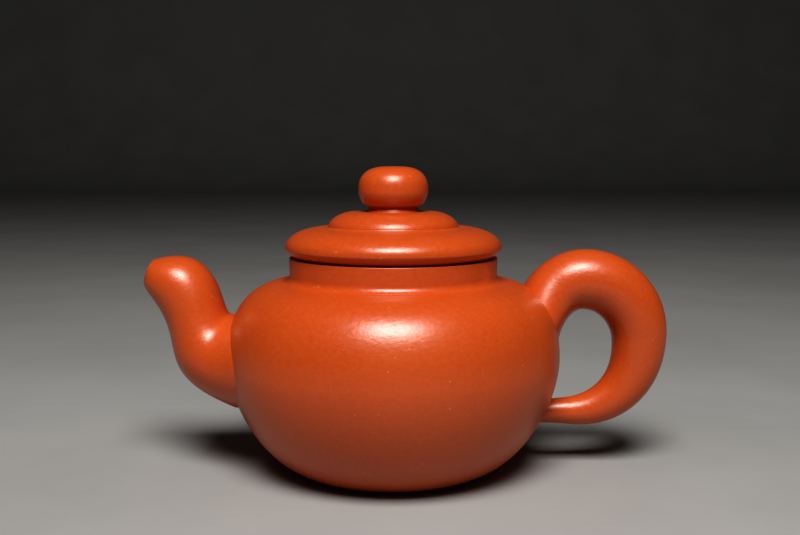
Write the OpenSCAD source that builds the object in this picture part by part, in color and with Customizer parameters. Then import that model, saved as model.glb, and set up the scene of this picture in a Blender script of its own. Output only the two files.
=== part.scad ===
// Round clay teapot with a tiered lid, a thick S-shaped spout and an ear-shaped handle.
// Built the way it is made: slab-formed body, pressed base, luted spout and handle, lid in its seat.
// Millimetres. +Z is up, the spout points to -X and the handle to +X.
// The origin is the centre of the resting ring on the table.

/* [Body] */
// Greatest outside radius of the belly
belly_radius = 43.8; // [40:0.1:48]
// Height of the greatest radius above the table
belly_height = 29.6; // [27:0.1:32]
// How full the shoulder curve is: 2 is an ellipse, more is squarer
shoulder_fullness = 2.3; // [1.9:0.05:2.6]
// How full the curve is from the belly down to the base
lower_fullness = 1.7; // [1.5:0.05:2.1]
// Height of the flat seat where the neck stands on the shoulder
shoulder_height = 49.8; // [48.5:0.1:51]
// Outside radius of the resting ring's flat
rest_outer_radius = 22.7; // [21.5:0.1:24]
// Inside radius of the resting ring's flat
rest_inner_radius = 19.6; // [18:0.1:20.5]
// Rise of the pressed-in base at its centre
base_rise = 1.6; // [0.8:0.1:2.5]
// Thickness of the clay slab in the belly, shoulder and base
slab = 3; // [2.4:0.1:3.4]
// Radius where the beaten wall ends and the shoulder disc is luted in
shoulder_seam_radius = 34; // [32:0.1:36]

/* [Neck] */
// Outside radius of the straight neck
neck_radius = 27.3; // [26.5:0.1:27.8]
// Inside radius of the mouth
mouth_radius = 24.4; // [23.5:0.1:24.8]
// Height of the rim that the lid sits on
rim_height = 56; // [55:0.1:57]
// Radius of the soft fillet where the neck meets the shoulder
neck_fillet = 1.6; // [0.8:0.1:2]

/* [Spout] */
// Distance from the axis at which the spout's root is buried in the belly wall
spout_root_reach = 41.2; // [40.5:0.1:41.8]
// Heights of the root's top and bottom
spout_root_heights = [40.2, 16.2]; // [15:0.1:41]
// Upper outline: distances from the axis of its three bend points
spout_upper_reach = [43.9, 46.5, 41.3]; // [40:0.1:48]
// Upper outline: heights of its three bend points
spout_upper_height = [42, 34.4, 62]; // [33:0.1:63]
// Lower outline: distances from the axis of its three bend points
spout_lower_reach = [71.8, 46.4, 68.6]; // [44:0.1:73]
// Lower outline: heights of its three bend points
spout_lower_height = [27, 36.6, 46]; // [26:0.1:48]
// Cut mouth: distances of its upper and lower lip from the axis
spout_lip_reach = [63, 65.4]; // [62:0.1:66]
// Cut mouth: heights of its upper and lower lip
spout_lip_height = [55.3, 50]; // [49.5:0.1:56]
// Half width of the spout at the root, before its flare
spout_root_half = 12.5; // [11.5:0.1:13.5]
// Half widths that pull the spout's plan in behind its throat and out over its nose
spout_plan_halves = [4.6, 13.2]; // [4:0.1:14]
// Half width of the root where it flares onto the belly
spout_flare_half = 17; // [16:0.1:17.2]
// Half width of the mouth
spout_mouth_half = 3.7; // [3.4:0.05:4.2]
// Wall thickness of the spout
spout_wall = 2.4; // [2:0.1:2.8]
// Radius of each strainer hole through the belly behind the spout
strainer_hole_radius = 1.25; // [1:0.05:1.5]
// Distance from the middle strainer hole to the others
strainer_pitch = 4.6; // [4.2:0.1:5]

/* [Handle] */
// Distance of the middle of the handle's loop from the pot's axis
handle_middle = 50.3; // [49.5:0.1:51]
// Height of the middle of the handle's loop
handle_middle_height = 34.2; // [33:0.1:35.5]
// How far the centre line reaches outward from the loop's middle
handle_reach = 15.1; // [14.5:0.1:17]
// How far the centre line reaches back towards the pot
handle_return = 12.7; // [12:0.1:13.4]
// Rise of the centre line above the loop's middle
handle_rise = 15.9; // [15:0.1:17]
// Fall of the centre line below the loop's middle
handle_fall = 19.2; // [18:0.1:20]
// Length of the straight lower arm, back into the belly
handle_arm_length = 14; // [12:0.1:16]
// Half thicknesses that shape the roll: root, shoulder of the arch, arch, bend, arm
handle_halves = [6.2, 8.3, 10.2, 4.4, 2]; // [2:0.1:11]
// How far the upper root spreads sideways over the shoulder
handle_root_spread = 6.5; // [4:0.1:7.5]
// How far the lower root thickens where it is luted on
handle_arm_spread = 1.2; // [0.6:0.1:1.6]

/* [Lid] */
// Greatest radius of the lid
lid_radius = 28.4; // [28:0.1:29]
// Height of the lid's greatest radius
lid_edge_height = 58.5; // [58:0.1:59]
// Height of the lid's top under the cap tier
lid_top_height = 63.8; // [63:0.1:64]
// Radius of the flat on top that the cap tier is luted to
lid_flat_radius = 18.4; // [18.3:0.1:19]
// Radius of the lid's underside where it meets the rim
lid_heel_radius = 26.4; // [26:0.1:27]
// How full the lid's upper curve is: 2 is an ellipse, more is squarer
lid_fullness = 2.05; // [1.8:0.05:2.4]
// Gap left between the lid and the rim it rests on
seat_gap = 0.05; // [0.03:0.01:0.1]
// Outside radius of the flange that drops into the mouth
flange_radius = 24.1; // [23.2:0.05:24.2]
// Wall thickness of the flange
flange_wall = 2.2; // [1.8:0.1:2.6]
// Depth of the flange below the rim
flange_depth = 8.6; // [7:0.1:9]
// Thickness of the lid plate inside the flange
plate_thickness = 3.4; // [3:0.1:4]
// Radius of the round cap tier
tier_radius = 17.1; // [16.5:0.1:17.2]
// Radius of the soft fillet at the cap tier's foot
tier_fillet = 0.65; // [0.5:0.05:0.7]
// Radius of the cap tier's top edge
tier_top_radius = 10.6; // [10:0.1:11.5]
// Height of the cap tier's top
tier_top_height = 67.9; // [67.5:0.1:68.2]
// Radius of the vent hole down through the knob and the lid
vent_radius = 1.1; // [0.9:0.05:1.3]

/* [Knob] */
// Greatest radius of the flattened bead
knob_radius = 9.2; // [8.8:0.1:9.8]
// Height of the bead's greatest radius
knob_height = 73.2; // [72.8:0.1:74]
// Height of the bead's underside
knob_base_height = 69.5; // [69.2:0.1:69.9]
// Radius of the bead's underside
knob_base_radius = 7.1; // [6.6:0.1:7.6]
// Height of the bead's top
knob_top_height = 79.7; // [79:0.1:80.5]
// Radius of the short neck under the bead
knob_neck_radius = 6.3; // [5.8:0.1:6.6]

/* [Hidden] */
// Fineness of round shapes
$fn = 128;
// Steps along each quarter curve
steps = 22;
// Points round a spout or handle section
around = 40;
// Steps along the spout and the handle
along = 36;
// Which node is drawn
clay = [0.72, 0.27, 0.13];
clay_dark = [0.62, 0.22, 0.11];

// A point on a rounded quarter curve from [r0, z0] at t = 0 to [r1, z1] at t = 90
function quarter(r0, z0, r1, z1, n, t) =
  [r1 + (r0 - r1) * pow(max(cos(t), 0), 2 / n), z0 + (z1 - z0) * pow(max(sin(t), 0), 2 / n)];

// The part of that curve between two angles
function quarter_run(r0, z0, r1, z1, n, t0, t1) =
  [for (i = [0 : steps]) quarter(r0, z0, r1, z1, n, t0 + (t1 - t0) * i / steps)];

// The angle at which a quarter curve reaches radius r
function quarter_angle(r0, r1, n, r) = acos(pow((r - r1) / (r0 - r1), n / 2));

// A list in the other order
function flip(v) = [for (i = [len(v) - 1 : -1 : 0]) v[i]];

// A smooth blend through five values
function blend(v, t) = pow(1 - t, 4) * v[0] + 4 * t * pow(1 - t, 3) * v[1]
  + 6 * t * t * pow(1 - t, 2) * v[2] + 4 * pow(t, 3) * (1 - t) * v[3] + pow(t, 4) * v[4];

// A soft concave fillet from a level surface at [r + f, z] up to a wall at [r, z + f]
function fillet(r, z, f) =
  [for (i = [0 : 6]) let (a = 90 - 15 * i) [r + f * (1 - cos(a)), z + f * (1 - sin(a))]];

// Belly curves: outside and inside, above and below the greatest radius
inner_radius = belly_radius - slab;
inner_top = shoulder_height - slab;
inner_floor = base_rise + slab;
shoulder_split = quarter_angle(belly_radius, neck_radius, shoulder_fullness, shoulder_seam_radius);
inner_split = quarter_angle(inner_radius, mouth_radius, shoulder_fullness, shoulder_seam_radius);
function outer_shoulder(t0, t1) = quarter_run(belly_radius, belly_height, neck_radius,
  shoulder_height, shoulder_fullness, t0, t1);
function inner_shoulder(t0, t1) = quarter_run(inner_radius, belly_height, mouth_radius,
  inner_top, shoulder_fullness, t0, t1);
function outer_lower() = quarter_run(belly_radius, belly_height, rest_outer_radius, 0,
  lower_fullness, 0, 90);
function inner_lower() = quarter_run(inner_radius, belly_height, rest_inner_radius,
  inner_floor, lower_fullness, 0, 90);

// A closed skin through rings of points, with a flat end on the first and last ring
module skin(rings) {
  n = len(rings[0]);
  last = len(rings) - 1;
  polyhedron(
    points = [for (r = rings) for (p = r) p],
    faces = concat(
      [[for (i = [n - 1 : -1 : 0]) i]],
      [for (k = [0 : last - 1]) for (i = [0 : n - 1])
        [k * n + i, (k + 1) * n + (i + 1) % n, (k + 1) * n + i]],
      [for (k = [0 : last - 1]) for (i = [0 : n - 1])
        [k * n + i, k * n + (i + 1) % n, (k + 1) * n + (i + 1) % n]],
      [[for (i = [0 : n - 1]) last * n + i]]
    ),
    convexity = 6
  );
}

// The belly as one solid lump, used to seat the spout and the handle on its surface
module belly_lump(extra = 0) {
  rotate_extrude()
    polygon(concat(
      [[0, 0]],
      [for (p = flip(outer_lower())) [p.x + extra, p.y]],
      [for (p = outer_shoulder(0, 90)) [p.x + extra, p.y + extra]],
      [[0, shoulder_height]]
    ));
}

// A point on the spout's upper outline and on its lower one
function spout_upper(t) = [
  -blend(concat(spout_root_reach, spout_upper_reach, spout_lip_reach[0]), t),
  blend(concat(spout_root_heights[0], spout_upper_height, spout_lip_height[0]), t)];
function spout_lower(t) = [
  -blend(concat(spout_root_reach, spout_lower_reach, spout_lip_reach[1]), t),
  blend(concat(spout_root_heights[1], spout_lower_height, spout_lip_height[1]), t)];

// Half width of the spout, with the flare that spreads its root over the belly
spout_flare = spout_flare_half - spout_root_half;
spout_flare_end = 0.16;
function spout_half(t) =
  blend(concat(spout_root_half, spout_root_half, spout_plan_halves, spout_mouth_half), t)
  + spout_flare * pow(max(1 - t / spout_flare_end, 0), 2);

// One oval section of the spout, drawn in from its outside by a wall
function spout_ring(t, wall, side_wall) =
  let (
    up = spout_upper(t),
    low = spout_lower(t),
    half = norm(up - low) / 2,
    v = (up - low) / (2 * half),
    m = (up + low) / 2
  )
  [for (i = [0 : around - 1]) let (a = 360 * i / around)
    [m.x + v.x * (half - wall) * cos(a), -(spout_half(t) - side_wall) * sin(a),
     m.y + v.y * (half - wall) * cos(a)]];

// The same section moved along X
function moved(ring, dx, dz) = [for (p = ring) [p.x + dx, p.y, p.z + dz]];

// Wall that thins to a fine lip at the mouth
lip_start = 0.8;
lip_wall = 0.6;
function lip(t) =
  spout_wall + (lip_wall - spout_wall) * pow(max(t - lip_start, 0) / (1 - lip_start), 2);

// The bore's side wall, thicker under the flare
function side(t) = lip(t) + spout_flare * pow(1 - t, 6);

module spout() {
  outer = [for (k = [0 : along]) spout_ring(k / along, 0, 0)];
  bore = [for (k = [0 : along]) let (t = k / along) spout_ring(t, lip(t), side(t))];
  color(clay)
    difference() {
      skin(concat([moved(outer[0], 8, 0)], outer));
      skin(concat([moved(bore[0], 9, 0)], bore, [moved(bore[along], -2, 1)]));
      belly_lump(0.02);
    }
}

// Point on the handle's centre line, from the upper root round the loop and back along the arm
loop_end = 0.84;
function arm_share(s) = max(s - loop_end, 0) / (1 - loop_end);
function handle_point(s) =
  let (
    a = 180 - 270 * min(s / loop_end, 1),
    run = arm_share(s),
    wide = cos(a) < 0 ? handle_return : handle_reach,
    tall = sin(a) > 0 ? handle_rise : handle_fall
  )
  [handle_middle + wide * cos(a) - handle_arm_length * run,
   handle_middle_height + tall * sin(a) - 0.9 * run * run];

// Half thickness of the roll, and its spread over the shoulder at the upper root
function handle_half(s) = blend(handle_halves, s) + handle_arm_spread * pow(arm_share(s), 1.2);
spread_full = 0.1;
spread_end = 0.24;
function handle_spread(s) = handle_root_spread
  * pow(min(max(spread_end - s, 0) / (spread_end - spread_full), 1), 1.8);

function handle_ring(s) =
  let (
    c = handle_point(s),
    d = handle_point(min(s + 0.002, 1)) - handle_point(max(s - 0.002, 0)),
    u = d / norm(d),
    h = handle_half(s),
    w = h + handle_spread(s)
  )
  [for (i = [0 : around - 1]) let (a = 360 * i / around)
    [c.x - u.y * h * cos(a), w * sin(a), c.y + u.x * h * cos(a)]];

module handle() {
  color(clay)
    difference() {
      skin([for (k = [0 : along]) handle_ring(k / along)]);
      belly_lump(0.02);
    }
}

module body_wall() {
  color(clay)
    difference() {
      rotate_extrude()
        polygon(concat(
          [[rest_inner_radius, 0]],
          flip(outer_lower()),
          outer_shoulder(0, shoulder_split),
          flip(inner_shoulder(0, inner_split)),
          inner_lower()
        ));
      strainer_holes();
    }
}

// One hole in the middle and six round it, from the chamber into the spout
module strainer_holes() {
  translate([0, 0, (spout_root_heights[0] + spout_root_heights[1]) / 2 + 0.9])
    rotate([0, -90, 0])
      for (k = [0 : 6])
        rotate([0, 0, 60 * k])
          translate([k == 0 ? 0 : strainer_pitch, 0, 36])
            cylinder(r = strainer_hole_radius, h = 12);
}

module shoulder_disc() {
  color(clay)
    rotate_extrude()
      polygon(concat(
        outer_shoulder(shoulder_split, 90),
        [[mouth_radius, shoulder_height]],
        flip(inner_shoulder(inner_split, 90))
      ));
}

module neck_collar() {
  color(clay)
    rotate_extrude()
      polygon(concat(
        [[mouth_radius, shoulder_height]],
        fillet(neck_radius, shoulder_height, neck_fillet),
        [[neck_radius, rim_height - 0.5], [neck_radius - 0.15, rim_height - 0.15],
         [neck_radius - 0.5, rim_height], [mouth_radius + 0.3, rim_height],
         [mouth_radius, rim_height - 0.3]]
      ));
}

module base_disc() {
  color(clay)
    rotate_extrude()
      polygon(concat(
        [for (i = [0 : 10]) [rest_inner_radius * i / 10, base_rise * (1 - pow(i / 10, 3))]],
        [[rest_inner_radius, inner_floor], [0, inner_floor]]
      ));
}

seat = rim_height + seat_gap;

module lid_flange() {
  color(clay)
    rotate_extrude()
      polygon([[flange_radius, seat], [flange_radius, seat - flange_depth + 1],
        [flange_radius - 0.5, seat - flange_depth], [flange_radius - flange_wall + 0.5, seat - flange_depth],
        [flange_radius - flange_wall, seat - flange_depth + 0.6], [flange_radius - flange_wall, seat]]);
}

module lid_plate() {
  lower = [for (i = [0 : 8])
    quarter(lid_radius, lid_edge_height, lid_heel_radius, seat, 1.8, 90 - 90 * i / 8)];
  upper = [for (i = [1 : steps])
    quarter(lid_radius, lid_edge_height, lid_flat_radius, lid_top_height, lid_fullness, 90 * i / steps)];
  color(clay_dark)
    rotate_extrude()
      polygon(concat(
        [[flange_radius - flange_wall, seat]],
        lower,
        upper,
        [[vent_radius, lid_top_height], [vent_radius, lid_top_height - plate_thickness],
         [12, lid_top_height - plate_thickness],
         [flange_radius - flange_wall - 2, lid_top_height - plate_thickness - 0.9],
         [flange_radius - flange_wall, lid_top_height - plate_thickness - 3]]
      ));
}

module lid_tier() {
  color(clay)
    rotate_extrude()
      polygon(concat(
        [[vent_radius, lid_top_height]],
        fillet(tier_radius, lid_top_height, tier_fillet),
        quarter_run(tier_radius, lid_top_height + 0.2, tier_top_radius, tier_top_height, 1.8, 8, 90),
        [[vent_radius, tier_top_height]]
      ));
}

module knob_neck() {
  spread = 0.7;
  tall = knob_base_height - tier_top_height;
  color(clay_dark)
    rotate_extrude()
      polygon(concat(
        [[vent_radius, tier_top_height]],
        [for (i = [0 : 8])
          [knob_neck_radius + spread * pow(1 - i / 8, 2), tier_top_height + tall * i / 8]],
        [[vent_radius, knob_base_height]]
      ));
}

module knob() {
  upper = [for (i = [1 : steps])
    quarter(knob_radius, knob_height, vent_radius, knob_top_height, 2.55, 90 * i / steps)];
  color(clay)
    rotate_extrude()
      polygon(concat(
        [[vent_radius, knob_base_height]],
        flip(quarter_run(knob_radius, knob_height, knob_base_radius, knob_base_height, 1.5, 0, 90)),
        upper
      ));
}

body_wall();
shoulder_disc();
neck_collar();
base_disc();
spout();
handle();
lid_flange();
lid_plate();
lid_tier();
knob_neck();
knob();
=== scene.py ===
import math

import bpy
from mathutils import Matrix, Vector


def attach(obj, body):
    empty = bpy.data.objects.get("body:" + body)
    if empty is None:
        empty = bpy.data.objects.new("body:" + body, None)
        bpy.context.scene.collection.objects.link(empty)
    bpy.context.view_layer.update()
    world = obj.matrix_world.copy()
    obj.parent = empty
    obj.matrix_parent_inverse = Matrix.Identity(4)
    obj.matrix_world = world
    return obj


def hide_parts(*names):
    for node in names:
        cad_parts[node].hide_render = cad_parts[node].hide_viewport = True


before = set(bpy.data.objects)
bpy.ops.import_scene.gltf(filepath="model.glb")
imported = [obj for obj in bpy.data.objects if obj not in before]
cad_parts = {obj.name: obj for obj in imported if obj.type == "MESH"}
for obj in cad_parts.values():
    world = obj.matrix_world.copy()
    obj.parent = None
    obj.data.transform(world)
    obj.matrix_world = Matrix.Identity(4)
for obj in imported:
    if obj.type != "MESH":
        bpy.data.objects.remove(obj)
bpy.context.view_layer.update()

MM = 0.001


# ---------------------------------------------------------------- belly wall
# The belly: a slab of fine red clay beaten round on the wheel head and turned in at the bottom.
# The outside is burnished with a horn rib, the inside is only scraped. Seven strainer holes are
# pierced through it behind the spout.

def let_go():
    """Leave edit mode and deselect everything."""
    if bpy.context.object and bpy.context.object.mode != "OBJECT":
        bpy.ops.object.mode_set(mode="OBJECT")
    bpy.ops.object.select_all(action="DESELECT")


def curve_quarter(r0, z0, r1, z1, fullness, steps, start=0.0, end=90.0):
    """Points of a rounded quarter curve from [r0, z0] to [r1, z1]."""
    points = []
    for i in range(steps + 1):
        t = math.radians(start + (end - start) * i / steps)
        points.append((r1 + (r0 - r1) * max(math.cos(t), 0.0) ** (2 / fullness),
                       z0 + (z1 - z0) * max(math.sin(t), 0.0) ** (2 / fullness)))
    return points


def turned_arc(r, z, radius, start, end, steps=6):
    """Points of a small round on an edge, centred on [r, z]."""
    return [(r + radius * math.cos(math.radians(start + (end - start) * i / steps)),
             z + radius * math.sin(math.radians(start + (end - start) * i / steps)))
            for i in range(steps + 1)]


def throw(name, profile, closed=True, turns=192):
    """Turn a profile round the pot's axis, as a piece is thrown and trimmed."""
    let_go()
    bpy.ops.mesh.primitive_plane_add(size=MM)
    piece = bpy.context.object
    piece.name = piece.data.name = name
    bpy.ops.object.mode_set(mode="EDIT")
    bpy.ops.mesh.select_all(action="SELECT")
    bpy.ops.mesh.merge(type="CENTER")
    line = [(r * MM, z * MM) for r, z in profile]
    bpy.ops.transform.translate(value=(line[0][0], 0, line[0][1]))
    path = line[1:] + ([line[0]] if closed else [])
    at = line[0]
    for r, z in path:
        bpy.ops.mesh.extrude_region_move(TRANSFORM_OT_translate={"value": (r - at[0], 0, z - at[1])})
        at = (r, z)
    bpy.ops.mesh.select_all(action="SELECT")
    bpy.ops.mesh.remove_doubles(threshold=1e-7)
    bpy.ops.mesh.select_all(action="SELECT")
    bpy.ops.mesh.spin(steps=turns, angle=2 * math.pi, center=(0, 0, 0), axis=(0, 0, 1))
    bpy.ops.mesh.select_all(action="SELECT")
    bpy.ops.mesh.remove_doubles(threshold=2e-6)
    bpy.ops.mesh.select_all(action="SELECT")
    bpy.ops.mesh.normals_make_consistent(inside=False)
    bpy.ops.object.mode_set(mode="OBJECT")
    return piece


def cut_away(piece, tool):
    """Cut one shape out of a piece and throw the tool away."""
    let_go()
    bpy.context.view_layer.objects.active = piece
    piece.select_set(True)
    cut = piece.modifiers.new("cut", "BOOLEAN")
    cut.operation = "DIFFERENCE"
    cut.solver = "EXACT"
    cut.object = tool
    bpy.ops.object.modifier_apply(modifier=cut.name)
    bpy.data.objects.remove(tool, do_unlink=True)


def burnish(piece, angle=38):
    """Smooth shading that keeps the crisp edges crisp."""
    let_go()
    bpy.context.view_layer.objects.active = piece
    piece.select_set(True)
    bpy.ops.object.shade_smooth_by_angle(angle=math.radians(angle))


class Wet:
    """A socket in a material, so that clay patterns can be written as sums."""

    def __init__(self, tree, socket):
        self.tree, self.socket = tree, socket

    def node(self, kind, settings=None, **sockets):
        made = self.tree.nodes.new(kind)
        for key, value in (settings or {}).items():
            if key == "stops":
                ramp = made.color_ramp
                while len(ramp.elements) < len(value):
                    ramp.elements.new(0.5)
                for element, (place, colour) in zip(ramp.elements, value):
                    element.position = place
                    element.color = colour
            else:
                setattr(made, key, value)
        for key, value in sockets.items():
            if key[0] == "i" and key[1:].isdigit():
                target = made.inputs[int(key[1:])]
            else:
                target = made.inputs[key.replace("_", " ")]
            if isinstance(value, Wet):
                self.tree.links.new(value.socket, target)
            else:
                target.default_value = value
        return made

    def out(self, made, name=0):
        return Wet(self.tree, made.outputs[name])

    def sum(self, operation, other, swapped=False):
        a, b = (other, self) if swapped else (self, other)
        return self.out(self.node("ShaderNodeMath", {"operation": operation}, i0=a, i1=b))

    def __add__(self, other):
        return self.sum("ADD", other)

    __radd__ = __add__

    def __mul__(self, other):
        return self.sum("MULTIPLY", other)

    __rmul__ = __mul__

    def __sub__(self, other):
        return self.sum("SUBTRACT", other)

    def __rsub__(self, other):
        return self.sum("SUBTRACT", other, swapped=True)

    def between(self, low, high):
        """0 below low, 1 above high, smooth between."""
        return self.out(self.node("ShaderNodeMapRange", {"interpolation_type": "SMOOTHSTEP", "clamp": True},
                                  Value=self, From_Min=low, From_Max=high, To_Min=0.0, To_Max=1.0))

    def colours(self, dark, light):
        """A colour between two, chosen by this value."""
        made = self.node("ShaderNodeMix", {"data_type": "RGBA", "clamp_factor": True})
        self.tree.links.new(self.socket, made.inputs[0])
        for place, value in ((6, dark), (7, light)):
            if isinstance(value, Wet):
                self.tree.links.new(value.socket, made.inputs[place])
            else:
                made.inputs[place].default_value = (*value, 1.0)
        return Wet(self.tree, made.outputs[2])

    def noise(self, scale, detail=3.0, rough=0.55, warp=0.0):
        return self.out(self.node("ShaderNodeTexNoise", {"noise_dimensions": "3D"}, Vector=self,
                                  Scale=scale, Detail=detail, Roughness=rough, Distortion=warp), "Fac")

    def grains(self, scale, feature="F1"):
        return self.out(self.node("ShaderNodeTexVoronoi", {"feature": feature}, Vector=self, Scale=scale),
                        "Distance")


def fired_clay(name, tone=(0.52, 0.093, 0.017), roughness=0.33, skin=0.42, scraped=False):
    """Fine red clay fired bare: a burnished skin with pear-skin ripples, or a scraped inside."""
    mat = bpy.data.materials.new(name)
    mat.use_nodes = True
    tree = mat.node_tree
    shader = next(n for n in tree.nodes if n.type == "BSDF_PRINCIPLED")
    here = Wet(tree, tree.nodes.new("ShaderNodeTexCoord").outputs["Object"])
    # the horn rib draws the skin's ripples out sideways, so they are lower than they are long
    drawn = here.out(here.node("ShaderNodeMapping", Vector=here, Scale=(1.0, 1.0, 1.55)), "Vector")
    # slow drift of the fired colour, and a finer mottling from the clay's own grains
    drift = here.noise(24.0, 2.0, 0.5).between(0.3, 0.7)
    mottle = here.noise(900.0, 4.0, 0.65).between(0.30, 0.72)
    deep = tuple(c * f for c, f in zip(tone, (0.45, 0.34, 0.30)))
    cool = tuple(c * f for c, f in zip(tone, (0.93, 0.86, 0.82)))
    warm = tuple(c * f for c, f in zip(tone, (1.08, 1.25, 1.40)))
    body = drift.colours(cool, tone)
    body = (mottle * 0.40).colours(body, warm)
    # iron specks, dark, and quartz and mica specks, pale
    where_iron = here.noise(240.0, 1.0, 0.5).between(0.50, 0.62)
    iron = (1.0 - here.grains(1500.0).between(0.10, 0.22)) * where_iron
    body = (iron * 0.55).colours(body, deep)
    where_quartz = here.noise(150.0, 1.0, 0.5).between(0.57, 0.64)
    quartz = (1.0 - here.grains(520.0).between(0.05, 0.10)) * where_quartz
    body = (quartz * 0.75).colours(body, (0.80, 0.40, 0.20))
    tree.links.new(body.socket, shader.inputs["Base Color"])
    # pear skin: cells about a millimetre long under a finer grain, and a few open pits
    cells = drawn.grains(760.0, "SMOOTH_F1")
    ripple = drawn.noise(900.0, 3.0, 0.6, 0.8)
    grain = here.noise(3000.0, 2.0, 0.6)
    height = cells * 0.55 + ripple * 0.8 + grain * 0.22 - iron * 0.25
    if scraped:
        rings = here.node("ShaderNodeTexWave", {"wave_type": "BANDS", "bands_direction": "Z"}, Vector=here,
                          Scale=260.0, Distortion=6.0, Detail=2.0)
        height = height + here.out(rings, "Fac") * 0.9
    bump = here.node("ShaderNodeBump", Strength=skin, Distance=0.0001, Height=height)
    tree.links.new(bump.outputs["Normal"], shader.inputs["Normal"])
    rough = ripple * 0.10 + mottle * 0.05 + drift * 0.03 + (roughness - 0.09)
    tree.links.new(rough.socket, shader.inputs["Roughness"])
    shader.inputs["IOR"].default_value = 1.60
    return mat


BELLY_R, BELLY_Z = 43.8, 29.6
NECK_R, SHOULDER_Z = 27.3, 49.8
SHOULDER_FULL, LOWER_FULL = 2.3, 1.7
REST_OUT, REST_IN = 22.7, 19.6
SLAB, MOUTH_R, BASE_RISE = 3.0, 24.4, 1.6
SEAM_R = 34.0
HOLE_COUNT, HOLE_R, HOLE_RING_R, HOLE_Z = 7, 1.25, 4.6, 28.95
PIERCER_AT, PIERCER_LONG = -42, 12


def reaches(r0, r1, fullness, r):
    """The angle at which a quarter curve comes to radius r."""
    return math.degrees(math.acos(((r - r1) / (r0 - r1)) ** (fullness / 2)))


outer_seam = reaches(BELLY_R, NECK_R, SHOULDER_FULL, SEAM_R)
inner_seam = reaches(BELLY_R - SLAB, MOUTH_R, SHOULDER_FULL, SEAM_R)


def belly_outside(inset=0.0, steps=60):
    """The belly's outside from the resting ring up to the neck."""
    low = curve_quarter(BELLY_R - inset, BELLY_Z, REST_OUT - inset, 0.0, LOWER_FULL, steps)
    high = curve_quarter(BELLY_R - inset, BELLY_Z, NECK_R, SHOULDER_Z - inset, SHOULDER_FULL, steps)
    return low[::-1] + high[1:]


wall_profile = (
    [(REST_IN, 0.35), (REST_IN + 0.12, 0.1), (REST_IN + 0.4, 0.0)]
    + curve_quarter(BELLY_R, BELLY_Z, REST_OUT, 0.0, LOWER_FULL, 64)[::-1]
    + curve_quarter(BELLY_R, BELLY_Z, NECK_R, SHOULDER_Z, SHOULDER_FULL, 48, 0, outer_seam)[1:]
    + curve_quarter(BELLY_R - SLAB, BELLY_Z, MOUTH_R, SHOULDER_Z - SLAB, SHOULDER_FULL, 24,
                    0, inner_seam)[::-1]
    + curve_quarter(BELLY_R - SLAB, BELLY_Z, REST_IN, BASE_RISE + SLAB, LOWER_FULL, 30)[1:]
)
body_wall = throw("body_wall_clay", wall_profile)
for k in range(HOLE_COUNT):
    # six holes in a ring, and the last one in their middle
    turn = math.radians(360 * k / (HOLE_COUNT - 1))
    reach = 0.0 if k == HOLE_COUNT - 1 else HOLE_RING_R
    let_go()
    bpy.ops.mesh.primitive_cylinder_add(
        vertices=28, radius=HOLE_R * MM, depth=PIERCER_LONG * MM, rotation=(0, math.pi / 2, 0),
        location=(PIERCER_AT * MM, reach * math.sin(turn) * MM, (HOLE_Z + reach * math.cos(turn)) * MM))
    cut_away(body_wall, bpy.context.object)
burnish(body_wall)

clay_outside = fired_clay("red_clay_burnished")
clay_inside = fired_clay("red_clay_scraped", tone=(0.47, 0.075, 0.016), roughness=0.60, skin=0.8,
                         scraped=True)


def give_clay(piece, outside=clay_outside, inside=None, is_inside=None):
    """Burnished clay outside, scraped clay where the rib doesn't reach."""
    piece.data.materials.clear()
    piece.data.materials.append(outside)
    if inside:
        piece.data.materials.append(inside)
        for face in piece.data.polygons:
            face.material_index = 1 if is_inside(face) else 0


def faces_the_tea(face):
    """True for a face on the inner side of the pot."""
    inward = -(face.normal.x * face.center.x + face.normal.y * face.center.y)
    r = math.hypot(face.center.x, face.center.y)
    return r < (BELLY_R - 1.0) * MM and (inward > 0.05 * r or face.normal.z > 0.98) \
        and face.center.z < (SHOULDER_Z - 2.0) * MM


give_clay(body_wall, inside=clay_inside, is_inside=faces_the_tea)
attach(body_wall, "pot")
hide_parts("body_wall")


# ------------------------------------------------------------- shoulder disc
# The disc that closes the top of the belly, luted on with slip and beaten down to the same curve.
# Its middle is cut out for the mouth once the neck is on.

shoulder = throw(
    "shoulder_disc_clay",
    curve_quarter(BELLY_R, BELLY_Z, NECK_R, SHOULDER_Z, SHOULDER_FULL, 44, outer_seam, 90)
    + [(MOUTH_R + 0.4, SHOULDER_Z), (MOUTH_R, SHOULDER_Z - 0.01)]
    + curve_quarter(BELLY_R - SLAB, BELLY_Z, MOUTH_R, SHOULDER_Z - SLAB, SHOULDER_FULL, 24,
                    inner_seam, 90)[::-1])
burnish(shoulder)
give_clay(shoulder, inside=clay_inside, is_inside=lambda f: f.normal.z < -0.2)
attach(shoulder, "pot")
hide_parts("shoulder_disc")


# --------------------------------------------------------------- neck collar
# A straight ring of clay luted on the shoulder, with a soft fillet worked in at its foot.
# Its rim is ground flat so that the lid turns on it.

RIM_Z, FILLET = 56.0, 2.0


def worked_in(r, z, fillet, steps=12):
    """Points of the soft hollow that a wooden tool leaves where a wall meets a level surface."""
    return [(r + fillet * (1 - math.cos(math.radians(a))), z + fillet * (1 - math.sin(math.radians(a))))
            for a in [90 - 90 * i / steps for i in range(steps + 1)]]


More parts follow.
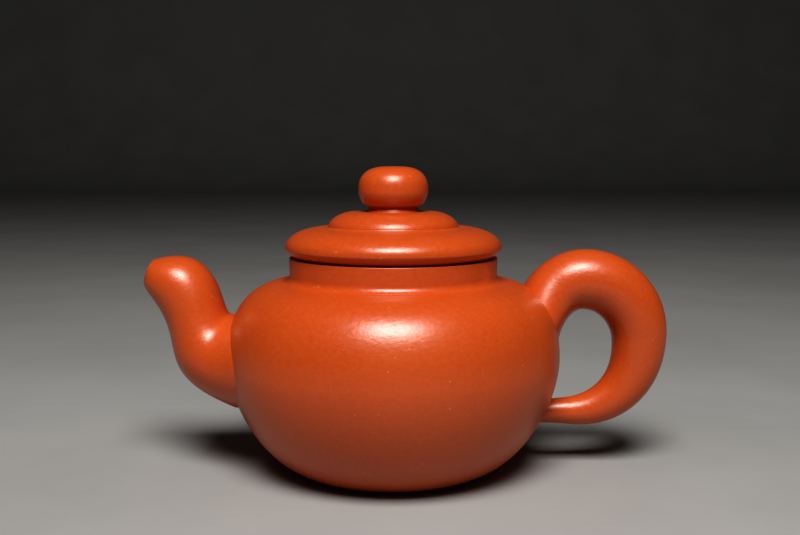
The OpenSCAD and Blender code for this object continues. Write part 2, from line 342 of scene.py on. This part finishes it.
NECK_FOOT_Z, NECK_KEY, RIM_OUTER, RIM_INNER = SHOULDER_Z - 0.10, 0.3, 0.25, 0.3
neck = throw(
    "neck_collar_clay",
    [(MOUTH_R, SHOULDER_Z - 0.02), (NECK_R - 1, SHOULDER_Z - 0.02), (NECK_R - 1, NECK_FOOT_Z - NECK_KEY),
     (NECK_R + FILLET, NECK_FOOT_Z - NECK_KEY)]
    + worked_in(NECK_R, NECK_FOOT_Z, FILLET)
    + turned_arc(NECK_R - RIM_OUTER, RIM_Z - RIM_OUTER, RIM_OUTER, 0, 90, 6)
    + turned_arc(MOUTH_R + RIM_INNER, RIM_Z - RIM_INNER, RIM_INNER, 90, 180))
burnish(neck)
give_clay(neck)
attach(neck, "pot")
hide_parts("neck_collar")


# ----------------------------------------------------------------- base disc
# The round of clay let into the bottom and pressed up in the middle, so that the pot stands on the
# ring round it.

base = throw(
    "base_disc_clay",
    [(REST_IN * i / 24, BASE_RISE * (1 - (i / 24) ** 3)) for i in range(24)]
    + [(REST_IN, 0.02), (REST_IN, BASE_RISE + SLAB), (REST_IN * 0.5, BASE_RISE + SLAB - 0.05),
       (0, BASE_RISE + SLAB)], closed=False)
burnish(base)
give_clay(base, inside=clay_inside, is_inside=lambda f: f.normal.z > 0.5)
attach(base, "pot")
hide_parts("base_disc")


# --------------------------------------------------------------------- spout
# The spout is rolled as a cone round a wooden stick, bent into an S, hollowed, and luted on over the
# strainer holes with its root spread on the belly. Its nose is rounded and cut off to a small mouth.

def blended(values, t):
    """A smooth run through five values."""
    return sum(math.comb(4, i) * (1 - t) ** (4 - i) * t ** i * v for i, v in enumerate(values))


UPPER_REACH, UPPER_HEIGHT = (41.2, 43.9, 46.5, 41.3, 63.0), (40.2, 42.0, 34.4, 62.0, 55.3)
LOWER_REACH, LOWER_HEIGHT = (41.2, 71.8, 46.4, 68.6, 65.4), (16.2, 27.0, 36.6, 46.0, 50.0)
SPOUT_HALVES = (12.6, 13.4, 5.2, 13.0, 3.7)
SPOUT_FLARE, FLARE_END = 5.0, 0.26
ROOT_DEEP, ROOT_FLARE, LUMP_INSET = 8, 7, 0.45


def spout_section(t, wall=0.0, side_wall=0.0):
    """Middle, tilt, half height and half width of the spout at t, from its root to its mouth."""
    up = Vector((-blended(UPPER_REACH, t), blended(UPPER_HEIGHT, t)))
    low = Vector((-blended(LOWER_REACH, t), blended(LOWER_HEIGHT, t)))
    lean = up - low
    half = blended(SPOUT_HALVES, t) + SPOUT_FLARE * max(1 - t / FLARE_END, 0) ** 3
    return ((up + low) / 2, math.atan2(lean.x, lean.y), lean.length / 2 - wall, half - side_wall)


def roll_out(name, sections, around=72):
    """Draw an oval section along its sections, each turned back upright, sized and leant again."""
    let_go()
    bpy.ops.mesh.primitive_circle_add(vertices=around, radius=1, fill_type="NGON",
                                      rotation=(0, math.pi / 2, 0))
    piece = bpy.context.object
    piece.name = piece.data.name = name
    bpy.ops.object.transform_apply(location=True, rotation=True, scale=True)
    bpy.ops.object.mode_set(mode="EDIT")
    bpy.ops.mesh.select_all(action="SELECT")
    (middle, lean, tall, wide) = sections[0]
    bpy.ops.transform.resize(value=(1, wide * MM, tall * MM), center_override=(0, 0, 0))
    bpy.ops.transform.rotate(value=-lean, orient_axis="Y", orient_type="GLOBAL", center_override=(0, 0, 0))
    bpy.ops.transform.translate(value=(middle.x * MM, 0, middle.y * MM))
    for nxt, nlean, ntall, nwide in sections[1:]:
        step = nxt - middle
        at = (nxt.x * MM, 0, nxt.y * MM)
        bpy.ops.mesh.extrude_region_move(TRANSFORM_OT_translate={"value": (step.x * MM, 0, step.y * MM)})
        bpy.ops.transform.rotate(value=lean, orient_axis="Y", orient_type="GLOBAL", center_override=at)
        bpy.ops.transform.resize(value=(1, nwide / wide, ntall / tall), center_override=at)
        bpy.ops.transform.rotate(value=-nlean, orient_axis="Y", orient_type="GLOBAL", center_override=at)
        middle, lean, tall, wide = nxt, nlean, ntall, nwide
    bpy.ops.mesh.select_all(action="SELECT")
    bpy.ops.mesh.normals_make_consistent(inside=False)
    bpy.ops.object.mode_set(mode="OBJECT")
    return piece


SPOUT_WALL, LIP_THINNED, LIP_FROM = 2.4, 1.8, 0.8


def lip_wall(t):
    """The wall at t, scraped thinner towards the mouth."""
    return SPOUT_WALL - LIP_THINNED * (max(t - LIP_FROM, 0) / (1 - LIP_FROM)) ** 2


STEPS = 84
outline = [spout_section(k / STEPS) for k in range(STEPS + 1)]
middle, lean, tall, wide = outline[0]
spout = roll_out("spout_clay", [(middle + Vector((ROOT_DEEP, 0)), lean, tall, wide + ROOT_FLARE)] + outline)
hollow = [spout_section(t, lip_wall(t), lip_wall(t) + SPOUT_FLARE * (1 - t) ** 6)
          for t in (k / STEPS for k in range(STEPS + 1))]
middle, lean, tall, wide = hollow[0]
bore_start = (middle + Vector((ROOT_DEEP + 1, 0)), lean, tall, wide)
middle, lean, tall, wide = hollow[-1]
bore_end = (middle + Vector((-2, 1)), lean, tall * 1.02, wide * 1.02)
cut_away(spout, roll_out("spout_bore", [bore_start] + hollow + [bore_end], around=48))
lump_profile = [(0.0, 0.0)] + belly_outside(LUMP_INSET) + [(0.0, SHOULDER_Z - LUMP_INSET)]
cut_away(spout, throw("belly_lump", lump_profile, closed=False, turns=128))
burnish(spout, 42)
give_clay(spout)
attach(spout, "pot")
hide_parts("spout")


# -------------------------------------------------------------------- handle
# A solid roll of clay, thick over the arch and thin in the lower arm, bent into an ear while soft.
# Both ends are luted to the belly and their roots are smoothed out on it.

LOOP_END, LOOP_X, LOOP_Z = 0.88, 50.4, 34.2
LOOP_RETURN, LOOP_REACH, LOOP_RISE, LOOP_FALL = 12.8, 15.0, 15.8, 19.7
BOTTOM_X, BOTTOM_FULL = 46.4, 0.91
ARM_LONG, ARM_SINK, ARM_SPREAD = 11, 0.6, 1.2
HANDLE_HALVES = (6.2, 8.4, 9.7, 5.8, 1.6)
ROOT_SPREAD, SPREAD_END, SPREAD_RUN = 3.6, 0.21, 0.17


def handle_middle_line(s):
    """The middle of the handle at s, from inside the shoulder round to the lower root."""
    a = math.radians(180 - 270 * min(s / LOOP_END, 1))
    run = max(s - LOOP_END, 0) / (1 - LOOP_END)
    if a >= 0:
        across = LOOP_X + (LOOP_RETURN if math.cos(a) < 0 else LOOP_REACH) * math.cos(a)
        return Vector((across, LOOP_Z + LOOP_RISE * math.sin(a)))
    across = BOTTOM_X + (LOOP_X + LOOP_REACH - BOTTOM_X) * max(math.cos(a), 0) ** BOTTOM_FULL
    return Vector((across - ARM_LONG * run,
                   LOOP_Z - LOOP_FALL * math.sin(-a) ** BOTTOM_FULL - ARM_SINK * run * run))


def handle_section(s):
    """Middle, tilt, half thickness and half width; the upper root spreads over the shoulder."""
    ahead = handle_middle_line(min(s + 0.004, 1)) - handle_middle_line(max(s - 0.004, 0))
    arm = max(s - LOOP_END, 0) / (1 - LOOP_END)
    half = blended(HANDLE_HALVES, s) + ARM_SPREAD * arm ** 1.2
    near = min(max(SPREAD_END - s, 0) / SPREAD_RUN, 1)
    spread = ROOT_SPREAD * near ** 2 * (3 - 2 * near)
    return (handle_middle_line(s), math.atan2(-ahead.y, ahead.x), half, half + spread)


handle = roll_out("handle_clay", [handle_section(k / 110) for k in range(111)], around=72)
cut_away(handle, throw("belly_lump", lump_profile, closed=False, turns=128))
burnish(handle, 42)
give_clay(handle)
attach(handle, "pot")
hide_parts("handle")


# ---------------------------------------------------------------- lid flange
# The ring under the lid that drops into the mouth and keeps the lid on when the pot is tipped.
# It is fitted to the neck by turning one in the other.

SEAT_Z = 56.05
FLANGE_R, FLANGE_WALL, FLANGE_DEEP = 24.1, 2.2, 8.6
flange = throw(
    "lid_flange_clay",
    [(FLANGE_R, SEAT_Z), (FLANGE_R, SEAT_Z - FLANGE_DEEP + 1.0)]
    + turned_arc(FLANGE_R - 0.7, SEAT_Z - FLANGE_DEEP + 0.7, 0.7, 0, -90)
    + turned_arc(FLANGE_R - FLANGE_WALL + 0.6, SEAT_Z - FLANGE_DEEP + 0.6, 0.6, -90, -180)
    + [(FLANGE_R - FLANGE_WALL, SEAT_Z)])
burnish(flange)
give_clay(flange)
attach(flange, "lid_seat_ring")
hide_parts("lid_flange")


# ----------------------------------------------------------------- lid plate
# The lid's disc, doubled at its edge into a soft round roll and hollowed underneath. A vent hole
# goes down through its middle.

LID_R, LID_EDGE_Z, LID_TOP_Z, VENT_R = 28.4, 58.5, 63.8, 1.1
LID_TOP_FULL, LID_UNDER_FULL = 2.05, 1.5
LID_FLAT_R, LID_HEEL_R, PLATE = 18.4, 25.2, 3.4
lid_plate = throw(
    "lid_plate_clay",
    [(FLANGE_R - FLANGE_WALL, SEAT_Z)]
    + curve_quarter(LID_R, LID_EDGE_Z, LID_HEEL_R, SEAT_Z, LID_UNDER_FULL, 24)[::-1]
    + curve_quarter(LID_R, LID_EDGE_Z, LID_FLAT_R, LID_TOP_Z, LID_TOP_FULL, 48)[1:]
    + [(VENT_R, LID_TOP_Z), (VENT_R, LID_TOP_Z - PLATE), (12.0, LID_TOP_Z - PLATE)]
    + curve_quarter(FLANGE_R - FLANGE_WALL, LID_TOP_Z - PLATE - 3.0, 13.0, LID_TOP_Z - PLATE, 2.4, 12, 90, 0))
burnish(lid_plate)
give_clay(lid_plate)
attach(lid_plate, "lid")
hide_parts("lid_plate")


# ------------------------------------------------------------------ lid tier
# The round stepped cap on the lid, turned like a small wheel and luted down, with its foot worked
# into the lid.

TIER_R, TIER_TOP_R, TIER_Z, TIER_FILLET = 17.1, 10.6, 67.9, 0.65
lid_tier = throw(
    "lid_tier_clay",
    [(VENT_R, LID_TOP_Z - 0.3), (TIER_R, LID_TOP_Z - 0.3)]
    + worked_in(TIER_R - 0.03, LID_TOP_Z - 0.01, TIER_FILLET)
    + curve_quarter(TIER_R, LID_TOP_Z + 0.2, TIER_TOP_R, TIER_Z, 1.8, 44, 9, 90)
    + [(VENT_R, TIER_Z)])
burnish(lid_tier)
give_clay(lid_tier)
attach(lid_tier, "lid")
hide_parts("lid_tier")


# ----------------------------------------------------------------- knob neck
# The pinch of clay that joins the knob to the cap, mostly hidden in the shadow under the bead.

NECK_KNOB_R, NECK_KNOB_SPREAD, KNOB_BASE_Z = 6.3, 0.7, 69.5
knob_neck = throw(
    "knob_neck_clay",
    [(VENT_R, TIER_Z), (NECK_KNOB_R + NECK_KNOB_SPREAD, TIER_Z)]
    + [(NECK_KNOB_R + NECK_KNOB_SPREAD * (1 - i / 10) ** 2, TIER_Z + (KNOB_BASE_Z - TIER_Z) * i / 10)
       for i in range(1, 11)]
    + [(VENT_R, KNOB_BASE_Z)])
burnish(knob_neck)
give_clay(knob_neck)
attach(knob_neck, "lid")
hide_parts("knob_neck")


# ---------------------------------------------------------------------- knob
# The flattened bead by which the lid is lifted, rolled between the palms and pierced from the top
# for the vent.

KNOB_R, KNOB_Z, KNOB_BASE_R, KNOB_TOP_Z = 9.2, 73.2, 7.1, 79.7
KNOB_BASE_FULL, KNOB_TOP_FULL, VENT_EASED = 1.5, 2.55, 0.3
knob = throw(
    "knob_clay",
    [(VENT_R, KNOB_BASE_Z)]
    + curve_quarter(KNOB_R, KNOB_Z, KNOB_BASE_R, KNOB_BASE_Z, KNOB_BASE_FULL, 30)[::-1]
    + curve_quarter(KNOB_R, KNOB_Z, VENT_R + VENT_EASED, KNOB_TOP_Z, KNOB_TOP_FULL, 60)[1:]
    + [(VENT_R, KNOB_TOP_Z - VENT_EASED)])
burnish(knob)
give_clay(knob)
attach(knob, "lid")
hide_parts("knob")


# --------------------------------------------------------------------- stage
# A plain pale grey tabletop that sweeps up behind the pot, one soft box above and in front of it,
# and a faint even fill.

TABLE_SIDE, TABLE_Y, BACK_EDGE_Y = 3.0, 0.6, 1.0
SWEEP_R, SWEEP_STEPS, WALL_HIGH = 0.5, 12, 1.4
let_go()
bpy.ops.mesh.primitive_plane_add(size=TABLE_SIDE, location=(0, TABLE_Y, 0))
table = bpy.context.object
table.name = "table"
bpy.ops.object.mode_set(mode="EDIT")
bpy.ops.mesh.select_all(action="DESELECT")
bpy.ops.object.mode_set(mode="OBJECT")
for edge in table.data.edges:
    ends = [table.data.vertices[v].co.y for v in edge.vertices]
    edge.select = min(ends) > BACK_EDGE_Y
for vertex in table.data.vertices:
    vertex.select = vertex.co.y > BACK_EDGE_Y
bpy.ops.object.mode_set(mode="EDIT")
for k in range(1, SWEEP_STEPS + 1):
    a0, a1 = math.radians(90 * (k - 1) / SWEEP_STEPS), math.radians(90 * k / SWEEP_STEPS)
    bpy.ops.mesh.extrude_region_move(TRANSFORM_OT_translate={"value": (
        0, SWEEP_R * (math.sin(a1) - math.sin(a0)), SWEEP_R * (math.cos(a0) - math.cos(a1)))})
bpy.ops.mesh.extrude_region_move(TRANSFORM_OT_translate={"value": (0, 0, WALL_HIGH)})
bpy.ops.object.mode_set(mode="OBJECT")
bpy.ops.object.transform_apply(location=True, rotation=True, scale=True)
burnish(table, 60)
plaster = bpy.data.materials.new("pale_plaster")
plaster.use_nodes = True
plaster_shader = next(n for n in plaster.node_tree.nodes if n.type == "BSDF_PRINCIPLED")
ground = Wet(plaster.node_tree, plaster.node_tree.nodes.new("ShaderNodeTexCoord").outputs["Object"])
cloud = ground.noise(9.0, 5.0, 0.6).between(0.25, 0.75).colours((0.32, 0.317, 0.31), (0.36, 0.356, 0.35))
plaster.node_tree.links.new(cloud.socket, plaster_shader.inputs["Base Color"])
plaster_shader.inputs["Roughness"].default_value = 0.75
table.data.materials.append(plaster)


def soft_light(name, at, aim, wide, deep, watts, colour):
    """A rectangular soft box at a place, turned to face a point."""
    let_go()
    bpy.ops.object.light_add(type="AREA", location=at)
    lamp = bpy.context.object
    lamp.name = name
    lamp.data.shape = "RECTANGLE"
    lamp.data.size, lamp.data.size_y = wide, deep
    lamp.data.energy = watts
    lamp.data.color = colour
    lamp.rotation_euler = (Vector(aim) - Vector(at)).to_track_quat("-Z", "Y").to_euler()
    return lamp


soft_light("overhead_box", (0, -0.47, 0.73), (0, -0.02, 0.04), 0.40, 0.34, 7.8, (1.0, 0.985, 0.96))

world = bpy.data.worlds.new("studio_air")
bpy.context.scene.world = world
world.use_nodes = True
air = next(n for n in world.node_tree.nodes if n.type == "BACKGROUND")
air.inputs["Color"].default_value = (1.0, 0.99, 0.97, 1.0)
air.inputs["Strength"].default_value = 0.03
bpy.context.scene.view_settings.view_transform = "Standard"
bpy.context.scene.view_settings.look = "High Contrast"


# -------------------------------------------------------------------- camera
# Close to the pot and about level with its knob, looking a little down.

let_go()
bpy.ops.object.camera_add(location=(0, -0.2625, 0.08228))
camera = bpy.context.object
camera.name = "viewpoint"
camera.data.sensor_width = 36.0
camera.data.lens = 45.0
camera.data.clip_start = 0.01
camera.rotation_euler = (math.radians(90 - 6.34), 0, -math.atan(6.7 / 1000))
bpy.context.scene.camera = camera
